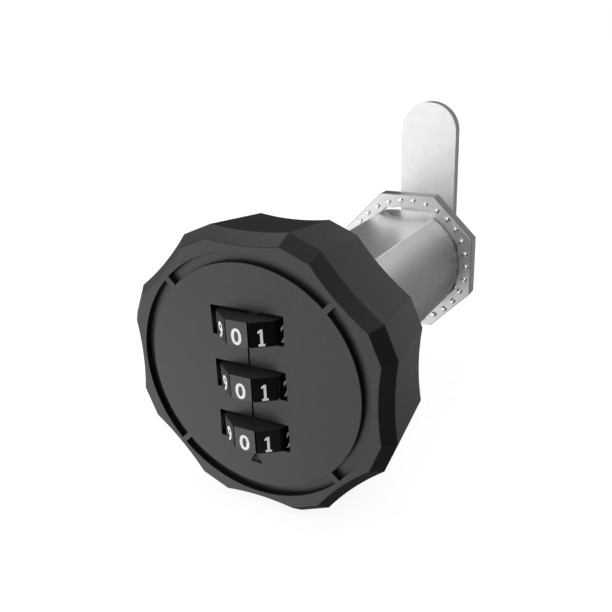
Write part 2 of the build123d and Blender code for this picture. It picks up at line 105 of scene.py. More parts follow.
# Half the thickness of a figure before it is scaled, how far its strokes are thickened,
# the steps in its curves, and the outline of the figure one with its flag and foot, all
# in shares of its height
FIGURE_HALF = 0.02
FIGURE_WEIGHT = 0.018
FIGURE_STEPS = 6
ONE_OUTLINE = (
    (-0.18, -0.5),
    (0.19, -0.5),
    (0.19, -0.37),
    (0.08, -0.37),
    (0.08, 0.5),
    (-0.04, 0.5),
    (-0.2, 0.38),
    (-0.2, 0.25),
    (-0.07, 0.31),
    (-0.07, -0.37),
    (-0.18, -0.37),
)

# The studio's soft lights: the way to each from the lock, and its strength. Each
# fades out from its middle between these two angles.
STUDIO_LIGHTS = (
    ((-0.52, 0.21, 0.83), 2.3),
    ((0.0, 1.0, -0.05), 0.6),
    ((-0.5, -0.82, 0.25), 0.8),
    ((-0.3, -0.42, 0.83), 0.7),
    ((-0.07, -0.96, -0.28), 0.3),
    ((-0.46, -0.81, -0.36), 0.9),
    ((0.1, -0.92, 0.35), 2.8),
    ((-0.98, 0.07, 0.16), 0.5),
    ((-0.81, 0.17, -0.55), 1.5),
    ((-0.6, -0.52, -0.61), 1.82),
    ((-0.41, -0.9, -0.14), 1.3),
    ((0.23, -0.54, -0.81), 0.6),
    ((0.5, 0.18, 0.85), 1.32),
    ((-0.97, -0.22, -0.08), 1.11),
    ((-0.83, -0.31, -0.46), 0.92),
    ((-0.04, 0.76, 0.65), 0.36),
    ((0.79, 0.11, 0.61), 0.35),
    ((0.15, 0.9, 0.41), 0.22),
    ((0.24, 0.95, -0.21), 0.18),
    ((0.57, 0.82, -0.06), 0.24),
    ((0.18, 0.58, 0.79), 0.23),
    ((-0.87, 0.23, 0.45), 0.23),
    ((-0.73, 0.03, 0.68), 0.22),
    ((0.64, -0.14, 0.75), 0.19),
    ((0.78, -0.02, -0.63), 0.17),
    ((0.03, -0.3, 0.95), 0.15),
    ((-0.77, 0.48, -0.41), 0.13),
    ((0.37, -0.23, 0.9), 0.13),
    ((0.1, 0.8, -0.59), 0.13),
    ((-0.21, -0.97, 0.1), 0.12),
    ((0.78, 0.41, 0.46), 0.11),
    ((0.41, 0.72, 0.55), 0.11),
    ((0.91, 0.39, -0.15), 0.1),
    ((-0.15, 0.66, -0.74), 0.09),
    ((-0.55, 0.53, -0.65), 0.08),
    ((0.4, 0.8, -0.45), 0.05),
    ((0.0, 0.23, -0.97), 0.03),
)
LIGHT_CORE = math.radians(6)
LIGHT_EDGE = math.radians(30)

# Painted light: how much paler the flat sides of the number wheels are than their
# facets, standing in for light on the wheels' tops, which the windows shade
WHEEL_SIDE_PAINTED_LIGHT = 12

# Look of the barrel's milled flat against its thread: duller as a milled finish and
# paler as painted light; and the height, just under the flat, where it starts, so that
# a thin strip of the round below the flat's edge gets a painted highlight
MILLED_PAINTED_LIGHT = 1.5
MILLED_ROUGHNESS = 0.32
MILLED_HIGHLIGHT_Z = 7.98 * MM
MILLED_BLEND = 0.01 * MM

# Darkest and palest tone of a finish against its colour, its smoothest and roughest
# place against its roughness, the strength of its bumps, and the patterns' scales in a
# millimetre, with the shares that clouds and speckle have beside a metal's strokes
SATIN_TONES = (0.92, 1.08)
SATIN_WEAR = (-0.03, 0.03)
SATIN_BUMPS = 0.25
SATIN_CLOUDS = 0.12
METAL_TONES = (0.93, 1.05)
METAL_WEAR = (-0.05, 0.06)
METAL_BUMPS = 0.3
METAL_SPECKLE = 7.0
CLOUDS_IN_TONE = 0.45
SPECKLE_IN_WEAR = 0.4
SPECKLE_IN_BUMPS = 0.3

# Colours of the metals that have no setting of their own
ZINC = (0.5, 0.5, 0.5)
BRASS = (0.78, 0.57, 0.26)
SCREW_STEEL = (0.66, 0.66, 0.65)
SPRING_STEEL = (0.5, 0.5, 0.5)

# How far the normal of a rim's face may lean towards the barrel's axis
RIM_TILT = 0.5

# The panel nut: its thickness, the inner end of its outer faces, and its ring of raised
# dots, with how far outside it and how deep under its front a dot's points lie
NUT_THICKNESS = 2.5 * MM
NUT_OUTSIDE = 11.55 * MM
DOTS = 30
DOT_RING = 10.8 * MM
DOT_RADIUS = 0.45 * MM
DOT_MARGIN = 0.02 * MM

# How far from the middle of its hole the cam's outline lies at least, across and along
CAM_ACROSS = 4.4 * MM
CAM_ALONG = 4.5 * MM

# Share of the white background that shiny surfaces show besides the studio's lights,
# and what the camera sees of the floor: its own white and the shade on it
SHINE_WHITE = 0.04
FLOOR_WHITE = 1.36
FLOOR_SHADE = 0.35
FLOOR_COLOUR = (0.8, 0.8, 0.8, 1)
FLOOR_DROP = 0.02 * MM

# The camera's sensor in millimetres, and the nearest and farthest that it sees
SENSOR_WIDTH = 36
NEAREST_SEEN = 2 * MM
FARTHEST_SEEN = 10


class KnobSizes(bpy.types.PropertyGroup):
    edge_round: FloatProperty(
        name="Edge round",
        description="Width of the rounded edges between the knob's facets",
        default=0.22 * MM,
        subtype="DISTANCE",
        precision=5,
    )
    opening_round: FloatProperty(
        name="Opening round",
        description="Width of the rounded edges of the windows and the ring groove",
        default=0.09 * MM,
        subtype="DISTANCE",
        precision=5,
    )
    notch_width: FloatProperty(
        name="Notch width",
        description="Half the width of the notch between two facets of a number wheel",
        default=0.11 * MM,
        subtype="DISTANCE",
        precision=5,
    )
    notch_depth: FloatProperty(
        name="Notch depth",
        description="Depth of the notch between two facets of a number wheel",
        default=0.28 * MM,
        subtype="DISTANCE",
        precision=5,
    )
    wheel_round: FloatProperty(
        name="Wheel edge round",
        description="Width of the rounded rims of the number wheels",
        default=0.06 * MM,
        subtype="DISTANCE",
        precision=6,
    )
    figure_height: FloatProperty(
        name="Figure height",
        description="Height of the figures on the number wheels",
        default=2.08 * MM,
        subtype="DISTANCE",
        precision=5,
    )
    figure_stretch: FloatProperty(
        name="Figure stretch",
        description="Width of the figures against the font's own width",
        default=1.03,
    )
    figure_drop: FloatProperty(
        name="Figure drop",
        description="How far the figures sit below the middle of their facets",
        default=0.38 * MM,
        subtype="DISTANCE",
        precision=5,
    )
    figure_shift: FloatProperty(
        name="Figure shift",
        description="How far the figures sit right of the middle of their facets",
        default=-0.07 * MM,
        subtype="DISTANCE",
        precision=5,
    )
    figure_relief: FloatProperty(
        name="Figure relief",
        description="How far the figures stand out of their facets",
        default=0.02 * MM,
        subtype="DISTANCE",
        precision=6,
    )


class MetalSizes(bpy.types.PropertyGroup):
    thread_pitch: FloatProperty(
        name="Thread pitch",
        description="Distance between two ridges of the barrel's thread",
        default=0.55 * MM,
        subtype="DISTANCE",
        precision=5,
    )
    thread_depth: FloatProperty(
        name="Thread depth",
        description="Depth of the thread's groove",
        default=0.07 * MM,
        subtype="DISTANCE",
        precision=5,
    )
    thread_steps: IntProperty(
        name="Thread steps",
        description="Straight pieces in one turn of the thread",
        default=120,
        min=24,
    )
    nut_edge: FloatProperty(
        name="Nut edge",
        description="Width of the broken edges of the panel nut",
        default=0.14 * MM,
        subtype="DISTANCE",
        precision=5,
    )
    fastener_edge: FloatProperty(
        name="Fastener edge",
        description="Width of the rounded edges of the cam's screw and washers",
        default=0.16 * MM,
        subtype="DISTANCE",
        precision=5,
    )
    dot_growth: FloatProperty(
        name="Dot growth",
        description="Width of the nut's raised dots against the solid part's own",
        default=1.2,
    )
    cam_edge: FloatProperty(
        name="Cam edge",
        description="Width of the rounded edges of the cam",
        default=0.18 * MM,
        subtype="DISTANCE",
        precision=5,
    )


class FinishColours(bpy.types.PropertyGroup):
    knob: FloatVectorProperty(
        name="Knob black",
        description="Colour of the knob's satin paint",
        subtype="COLOR",
        default=(0.007, 0.007, 0.0073),
        min=0,
        max=1,
    )
    wheel: FloatVectorProperty(
        name="Wheel black",
        description="Colour of the number wheels",
        subtype="COLOR",
        default=(0.003, 0.003, 0.0031),
        min=0,
        max=1,
    )
    figure: FloatVectorProperty(
        name="Figure white",
        description="Colour of the figures",
        subtype="COLOR",
        default=(0.93, 0.93, 0.92),
        min=0,
        max=1,
    )
    barrel: FloatVectorProperty(
        name="Barrel metal",
        description="Colour of the barrel's plated metal",
        subtype="COLOR",
        default=(0.64, 0.64, 0.64),
        min=0,
        max=1,
    )
    nut: FloatVectorProperty(
        name="Nut metal",
        description="Colour of the panel nut's plated metal",
        subtype="COLOR",
        default=(0.64, 0.64, 0.64),
        min=0,
        max=1,
    )
    # Darker copy of the nut's and cam's metal for their rims: painted shade on those
    # side faces
    rim: FloatVectorProperty(
        name="Rim metal",
        description="Colour of the sheared rims of the panel nut and the cam",
        subtype="COLOR",
        default=(0.34, 0.34, 0.34),
        min=0,
        max=1,
    )
    cam: FloatVectorProperty(
        name="Cam metal",
        description="Colour of the cam's plated steel",
        subtype="COLOR",
        default=(0.93, 0.93, 0.93),
        min=0,
        max=1,
    )


class StageSettings(bpy.types.PropertyGroup):
    camera_place: FloatVectorProperty(
        name="Camera place",
        description="Where the camera stands",
        subtype="TRANSLATION",
        default=(44.56 * MM, -76.81 * MM, 39.35 * MM),
    )
    camera_target: FloatVectorProperty(
        name="Camera target",
        description="Point in the middle of the picture",
        subtype="TRANSLATION",
        default=(1.125 * MM, -0.3 * MM, 5.233 * MM),
    )
    camera_roll: FloatProperty(
        name="Camera roll",
        description="Turn of the camera about its own line of sight",
        subtype="ANGLE",
        default=math.radians(-2.313),
    )
    camera_lens: FloatProperty(
        name="Camera lens",
        description="Focal length in millimetres for a 36 millimetre sensor",
        default=42.69,
    )
    floor_size: FloatProperty(
        name="Floor size",
        description="Side of the pale floor",
        subtype="DISTANCE",
        default=4.0,
    )


def select_only(piece):
    """Leaves one object selected and active."""
    bpy.ops.object.select_all(action="DESELECT")
    piece.select_set(True)
    bpy.context.view_layer.objects.active = piece


@contextmanager
def edit_mode(piece, select):
    """Edit mode on one piece, which ends with nothing selected."""
    select_only(piece)
    bpy.ops.object.mode_set(mode="EDIT")
    bpy.ops.mesh.select_mode(type=select)
    try:
        yield
    finally:
        bpy.ops.mesh.select_all(action="DESELECT")
        bpy.ops.object.mode_set(mode="OBJECT")


def apply_modifier(piece, modifier):
    """Puts what a modifier does into the piece's mesh."""
    select_only(piece)
    bpy.ops.object.modifier_apply(modifier=modifier.name)


def face_outwards(piece):
    """Turns every face of a closed piece outwards."""
    with edit_mode(piece, "FACE"):
        bpy.ops.mesh.select_all(action="SELECT")
        bpy.ops.mesh.normals_make_consistent(inside=False)


def settle(piece):
    """Puts the piece's place, turn and size into its mesh."""
    select_only(piece)
    bpy.ops.object.transform_apply(location=True, rotation=True, scale=True)


def copy_of_node(node, name):
    """Merged copy of a CAD node's mesh, as a new object at the origin."""
    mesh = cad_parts[node].data.copy()
    mesh.name = name
    piece = bpy.data.objects.new(name, mesh)
    bpy.context.scene.collection.objects.link(piece)
    with edit_mode(piece, "VERT"):
        bpy.ops.mesh.select_all(action="SELECT")
        bpy.ops.mesh.remove_doubles(threshold=MERGE_DISTANCE)
        bpy.ops.mesh.dissolve_limited(angle_limit=MERGE_BEND)
    return piece


def select_edges(piece, wanted, least_angle):
    """In edit mode, selects the sharp edges that a rule wants and counts them."""
    mesh = bmesh.from_edit_mesh(piece.data)
    sharp = math.radians(least_angle)
    found = 0
    for face in mesh.faces:
        face.select_set(False)
    for edge in mesh.edges:
        edge.select_set(False)
    for edge in mesh.edges:
        if len(edge.link_faces) != 2 or edge.calc_face_angle(0) < sharp:
            continue
        a, b = (vertex.co for vertex in edge.verts)
        if wanted(a) and wanted(b):
            edge.select_set(True)
            found += 1
    bmesh.update_edit_mesh(piece.data)
    return found


def round_edges(piece, wanted, width, least_angle, segments=2):
    """Bevels the edges that a rule wants and that bend by an angle, in degrees."""
    with edit_mode(piece, "EDGE"):
        if not select_edges(piece, wanted, least_angle):
            raise RuntimeError(f"{piece.name} has no edge to round")
        bpy.ops.mesh.bevel(
            offset=width,
            segments=segments,
            affect="EDGES",
            clamp_overlap=True,
        )


def smooth(piece, angle=30):
    """Smooth shading across shallow edges, with flat faces kept flat."""
    select_only(piece)
    bpy.ops.object.shade_smooth_by_angle(angle=math.radians(angle))
    weights = piece.modifiers.new("flat_faces", "WEIGHTED_NORMAL")
    weights.keep_sharp = True
    apply_modifier(piece, weights)


def dress(piece, material, body, slot, *nodes):
    """Gives a finished piece its material and body and hides the CAD nodes it replaces;
    slot is not used.
    """
    piece.data.materials.clear()
    piece.data.materials.append(material)
    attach(piece, body)
    if nodes:
        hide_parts(*nodes)


def dress_faces(piece, material, wanted):
    """Gives the faces of a piece that a rule wants another material."""
    piece.data.materials.append(material)
    with edit_mode(piece, "FACE"):
        bpy.ops.mesh.select_all(action="DESELECT")
        mesh = bmesh.from_edit_mesh(piece.data)
        for face in mesh.faces:
            face.select_set(wanted(face))
        bmesh.update_edit_mesh(piece.data)
        piece.active_material_index = len(piece.data.materials) - 1
        bpy.ops.object.material_slot_assign()


def radius_of(point):
    """Distance from the barrel's axis."""
    return math.hypot(point.x, point.z)


def reach_of(point):
    """Distance from the number wheels' axle."""
    return math.hypot(point.x, point.y - WHEEL_AXIS_Y)


class Finish:
    """Builds the nodes of one procedural material, in millimetres of object space."""

    def __init__(self, name):
        self.material = bpy.data.materials.new(name)
        self.material.use_nodes = True
        self.nodes = self.material.node_tree.nodes
        self.links = self.material.node_tree.links
        self.nodes.clear()
        output = self.nodes.new("ShaderNodeOutputMaterial")
        self.shader = self.nodes.new("ShaderNodeBsdfPrincipled")
        self.links.new(self.shader.outputs["BSDF"], output.inputs["Surface"])
        self.place = self.nodes.new("ShaderNodeTexCoord").outputs["Object"]

    def feed(self, socket, value):
        """Links a socket to another, or sets its value."""
        if isinstance(value, bpy.types.NodeSocket):
            self.links.new(value, socket)
        else:
            socket.default_value = value

    def stretched(self, x, y, z):
        """Object coordinates, in units of pattern in a millimetre each way."""
        mapping = self.nodes.new("ShaderNodeMapping")
        self.links.new(self.place, mapping.inputs["Vector"])
        mapping.inputs["Scale"].default_value = (x / MM, y / MM, z / MM)
        return mapping.outputs["Vector"]

    def noise(self, place, detail=3.0, roughness=0.5):
        """Noise from 0 to 1 on a place."""
        texture = self.nodes.new("ShaderNodeTexNoise")
        self.links.new(place, texture.inputs["Vector"])
        texture.inputs["Scale"].default_value = 1.0
        texture.inputs["Detail"].default_value = detail
        texture.inputs["Roughness"].default_value = roughness
        return texture.outputs["Fac"]

    def ranged(self, value, low, high, start=0.3, end=0.7):
        """A value from start to end, spread from low to high."""
        spread = self.nodes.new("ShaderNodeMapRange")
        self.links.new(value, spread.inputs["Value"])
        spread.inputs["From Min"].default_value = start
        spread.inputs["From Max"].default_value = end
        spread.inputs["To Min"].default_value = low
        spread.inputs["To Max"].default_value = high
        return spread.outputs["Result"]

    def mixed(self, factor, first, second):
        """Colour between two colours."""
        mix = self.nodes.new("ShaderNodeMix")
        mix.data_type = "RGBA"
        self.feed(mix.inputs[0], factor)
        self.feed(mix.inputs[6], first)
        self.feed(mix.inputs[7], second)
        return mix.outputs[2]

    def added(self, first, second, share=0.5):
        """Blend of two values."""
        mix = self.nodes.new("ShaderNodeMix")
        self.feed(mix.inputs[0], share)
        self.feed(mix.inputs[2], first)
        self.feed(mix.inputs[3], second)
        return mix.outputs[0]

    def bumped(self, height, strength, depth):
        """Normal that follows a height, with its depth in millimetres."""
        bump = self.nodes.new("ShaderNodeBump")
        bump.inputs["Strength"].default_value = strength
        bump.inputs["Distance"].default_value = depth * MM
        self.links.new(height, bump.inputs["Height"])
        return bump.outputs["Normal"]


def scaled_colour(colour, factor):
    """Colour with its channels multiplied, as four numbers."""
    return (*[min(1.0, channel * factor) for channel in colour], 1.0)


def satin_finish(name, colour, roughness, grain, depth, specular):
    """Moulded or painted dark surface with a fine grain."""
    finish = Finish(name)
    broad = finish.noise(finish.stretched(*[SATIN_CLOUDS] * 3), detail=2.0)
    fine = finish.noise(finish.stretched(*[grain] * 3), detail=4.0)
    shade = finish.mixed(
        finish.ranged(broad, 0.0, 1.0),
        *(scaled_colour(colour, factor) for factor in SATIN_TONES),
    )
    wear = finish.ranged(fine, *(roughness + change for change in SATIN_WEAR))
    normal = finish.bumped(fine, SATIN_BUMPS, depth)
    finish.feed(finish.shader.inputs["Base Color"], shade)
    finish.feed(finish.shader.inputs["Roughness"], wear)
    finish.feed(finish.shader.inputs["Specular IOR Level"], specular)
    finish.feed(finish.shader.inputs["Normal"], normal)
    return finish.material


def metal_finish(
    name,
    colour,
    roughness,
    strokes,
    stroke_depth,
    blotch=0.5,
    metallic=1.0,
    milled_highlight_z=None,
):
    """Plated metal with tool strokes along one way and slight clouding.

    Above the height in its last argument it is a milled flat, duller than the rest and
    paler as painted light; the strip of round just under the flat's edge gets the same
    paler colour as a painted highlight.
    """
    finish = Finish(name)
    lines = finish.noise(finish.stretched(*strokes), detail=3.0, roughness=0.6)
    clouds = finish.noise(finish.stretched(*[blotch] * 3), detail=3.0)
    speckle = finish.noise(finish.stretched(*[METAL_SPECKLE] * 3), detail=2.0)
    tone = finish.added(lines, clouds, CLOUDS_IN_TONE)
    shade = finish.mixed(
        finish.ranged(tone, 0.0, 1.0),
        *(scaled_colour(colour, factor) for factor in METAL_TONES),
    )
    wear = finish.ranged(
        finish.added(lines, speckle, SPECKLE_IN_WEAR),
        *(roughness + change for change in METAL_WEAR),
    )
    # Above the height: a paler colour as painted light on the flat and as a painted
    # highlight on the round's strip just under its edge, with the duller roughness of
    # the milled finish
    if milled_highlight_z is not None:
        parts = finish.nodes.new("ShaderNodeSeparateXYZ")
        finish.links.new(finish.place, parts.inputs["Vector"])
        milled_and_highlight = finish.ranged(
            parts.outputs["Z"], 0.0, 1.0, milled_highlight_z, milled_highlight_z + MILLED_BLEND
        )
        shade = finish.mixed(milled_and_highlight, shade, scaled_colour(colour, MILLED_PAINTED_LIGHT))
        wear = finish.added(wear, MILLED_ROUGHNESS, milled_and_highlight)
    finish.feed(finish.shader.inputs["Base Color"], shade)
    finish.shader.inputs["Metallic"].default_value = metallic
    finish.feed(finish.shader.inputs["Roughness"], wear)
    height = finish.added(lines, speckle, SPECKLE_IN_BUMPS)
    if milled_highlight_z is not None:
        height = finish.added(height, 0.5, milled_and_highlight)
    normal = finish.bumped(height, METAL_BUMPS, stroke_depth)
    finish.feed(finish.shader.inputs["Normal"], normal)
    return finish.material


def finishes():
    """The lock's materials, made once."""
    if "satin_black" in bpy.data.materials:
        return {material.name: material for material in bpy.data.materials}
    colours = bpy.context.scene.lock_colours
    # Paler copy of the wheels' black for their flat sides: painted light
    side = scaled_colour(colours.wheel, WHEEL_SIDE_PAINTED_LIGHT)[:3]
    for name, colour, roughness, grain, depth, specular in (
        ("satin_black", colours.knob, 0.42, 5.0, 0.003, 0.5),
        ("wheel_gloss", colours.wheel, 0.17, 7.0, 0.0001, 0.45),
        ("wheel_side", side, 0.5, 6.0, 0.001, 0.5),
        ("figure_white", colours.figure, 0.5, 6.0, 0.002, 0.4),
    ):
        satin_finish(name, colour, roughness, grain, depth, specular)
    for name, colour, roughness, strokes, stroke_depth, blotch, metallic in (
        ("nut_plate", colours.nut, 0.36, (3.0, 3.0, 3.0), 0.002, 1.2, 0.6),
        ("cam_plate", colours.cam, 0.5, (6.0, 6.0, 0.2), 0.0004, 0.5, 0.3),
        # Paler, glossier metal for the nut's raised dots: the gloss is real, the paler
        # colour a painted highlight
        ("dot_plate", colours.cam, 0.16, (3.0, 3.0, 3.0), 0.0003, 1.2, 1.0),
        # Darker metal for the rims of the nut and the cam: painted shade
        ("rim_plate", colours.rim, 0.36, (3.0, 3.0, 3.0), 0.002, 0.5, 1.0),
        ("zinc_cast", ZINC, 0.42, (4.0, 4.0, 4.0), 0.005, 0.8, 1.0),
        ("brass_turned", BRASS, 0.3, (0.6, 0.6, 11.0), 0.0006, 0.5, 1.0),
        ("screw_plate", SCREW_STEEL, 0.3, (2.0, 2.0, 2.0), 0.0004, 1.0, 1.0),
        ("spring_wire", SPRING_STEEL, 0.24, (1.0, 1.0, 1.0), 0.001, 1.5, 1.0),
    ):
        metal_finish(name, colour, roughness, strokes, stroke_depth, blotch, metallic)
    # The barrel's flat is paler as painted light, with a painted highlight just under
    # its edge
    metal_finish(
        "barrel_plate",
        colours.barrel,
        roughness=0.34,
        strokes=(0.25, 6.0, 0.25),
        stroke_depth=0.001,
        milled_highlight_z=MILLED_HIGHLIGHT_Z,
    )
    return {material.name: material for material in bpy.data.materials}


class LOCK_OT_build_stage(bpy.types.Operator):
    """Adds the pale floor, the studio's soft lights and the camera"""

    bl_idname = "lock.build_stage"
    bl_label = "Build Stage"

    def execute(self, context):
        settings = context.scene.lock_stage
        floor_z = min(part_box(node)[0].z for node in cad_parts)
        bpy.ops.object.select_all(action="DESELECT")
        bpy.ops.mesh.primitive_plane_add(
            size=settings.floor_size,
            location=(0, 0, floor_z - FLOOR_DROP),
        )
        floor = context.active_object
        floor.name = "floor"
        settle(floor)
        floor.data.materials.append(self.floor_material())
        floor.visible_diffuse = False
        floor.visible_glossy = False
        floor.visible_transmission = False
        floor.visible_shadow = False
        self.add_world(context)
        self.add_camera(context, settings)
        context.scene.view_settings.view_transform = "Standard"
        return {"FINISHED"}

    def floor_material(self):
        """Pale floor that the camera sees as white, with the lock's faint shadow."""
        material = bpy.data.materials.new("floor_pale")
        material.use_nodes = True
        nodes, links = material.node_tree.nodes, material.node_tree.links
        nodes.clear()
        output = nodes.new("ShaderNodeOutputMaterial")
        diffuse = nodes.new("ShaderNodeBsdfDiffuse")
        diffuse.inputs["Color"].default_value = FLOOR_COLOUR
        white = nodes.new("ShaderNodeEmission")
        white.inputs["Strength"].default_value = FLOOR_WHITE
        mix = nodes.new("ShaderNodeMixShader")
        mix.inputs[0].default_value = FLOOR_SHADE
        links.new(white.outputs[0], mix.inputs[1])
        links.new(diffuse.outputs[0], mix.inputs[2])
        links.new(mix.outputs[0], output.inputs["Surface"])
        return material

    def add_world(self, context):
        """White for the camera, and soft lights around the lock for all else."""
        world = bpy.data.worlds.new("studio")
        context.scene.world = world
        world.use_nodes = True
        nodes, links = world.node_tree.nodes, world.node_tree.links
        nodes.clear()
        way = nodes.new("ShaderNodeTexCoord").outputs["Generated"]
        total = None
        for direction, strength in STUDIO_LIGHTS:
            closeness = nodes.new("ShaderNodeVectorMath")
            closeness.operation = "DOT_PRODUCT"
            closeness.inputs[1].default_value = Vector(direction).normalized()
            links.new(way, closeness.inputs[0])
            light = nodes.new("ShaderNodeMapRange")
            light.interpolation_type = "SMOOTHSTEP"
            light.inputs["From Min"].default_value = math.cos(LIGHT_EDGE)
            light.inputs["From Max"].default_value = math.cos(LIGHT_CORE)
            light.inputs["To Max"].default_value = strength
            links.new(closeness.outputs["Value"], light.inputs["Value"])
            if total is None:
                total = light.outputs["Result"]
                continue
            both = nodes.new("ShaderNodeMath")
            both.operation = "ADD"
            links.new(total, both.inputs[0])
            links.new(light.outputs["Result"], both.inputs[1])
            total = both.outputs[0]
        studio = nodes.new("ShaderNodeBackground")
        links.new(total, studio.inputs["Strength"])
        white = nodes.new("ShaderNodeBackground")
        white.inputs["Color"].default_value = (1, 1, 1, 1)
        path = nodes.new("ShaderNodeLightPath")
        shine = nodes.new("ShaderNodeMath")
        shine.operation = "MULTIPLY_ADD"
        shine.inputs[1].default_value = SHINE_WHITE
        links.new(path.outputs["Is Glossy Ray"], shine.inputs[0])
        links.new(path.outputs["Is Camera Ray"], shine.inputs[2])
        clear = nodes.new("ShaderNodeMath")
        clear.operation = "MAXIMUM"
        links.new(shine.outputs[0], clear.inputs[0])
        links.new(path.outputs["Is Transmission Ray"], clear.inputs[1])
        mix = nodes.new("ShaderNodeMixShader")
        links.new(clear.outputs[0], mix.inputs[0])
        links.new(studio.outputs[0], mix.inputs[1])
        links.new(white.outputs[0], mix.inputs[2])
        output = nodes.new("ShaderNodeOutputWorld")
        links.new(mix.outputs[0], output.inputs["Surface"])

    def add_camera(self, context, settings):
        """Camera at the angle of the photograph."""
        data = bpy.data.cameras.new("camera")
        data.sensor_width = SENSOR_WIDTH
        data.lens = settings.camera_lens
        data.clip_start = NEAREST_SEEN
        data.clip_end = FARTHEST_SEEN
        camera = bpy.data.objects.new("camera", data)
        context.scene.collection.objects.link(camera)
        place = Vector(settings.camera_place)
        aim = Vector(settings.camera_target) - place
        turn = aim.to_track_quat("-Z", "Y").to_matrix().to_4x4()
        roll = Matrix.Rotation(settings.camera_roll, 4, "Z")
        camera.matrix_world = Matrix.Translation(place) @ turn @ roll
        context.scene.camera = camera


class LOCK_OT_build_knob(bpy.types.Operator):
    """Rounds the edges of the faceted knob"""

    bl_idname = "lock.build_knob"
    bl_label = "Build Knob"

    def execute(self, context):
        sizes = context.scene.lock_knob
        knob = copy_of_node("knob_housing", "knob_shell")

        def on_face(point):
            return abs(point.y - FACE_Y) < FACE_REACH

        def on_rim(point):
            return radius_of(point) > RIM_RADIUS

        def on_groove(point):
            return on_face(point) and GROOVE_BAND[0] < radius_of(point) < GROOVE_BAND[1]

        def on_windows(point):
            beside = WINDOW_BAND[0] < abs(point.x) < WINDOW_BAND[1]
            return on_face(point) and beside and abs(point.z) < WINDOWS_TOP

        round_edges(knob, on_rim, sizes.edge_round, least_angle=15, segments=3)
        round_edges(knob, on_groove, sizes.opening_round, least_angle=60)
        round_edges(knob, on_windows, sizes.opening_round, least_angle=60)
        smooth(knob)
        dress(knob, finishes()["satin_black"], "knob", "knob_black", "knob_housing")
        return {"FINISHED"}


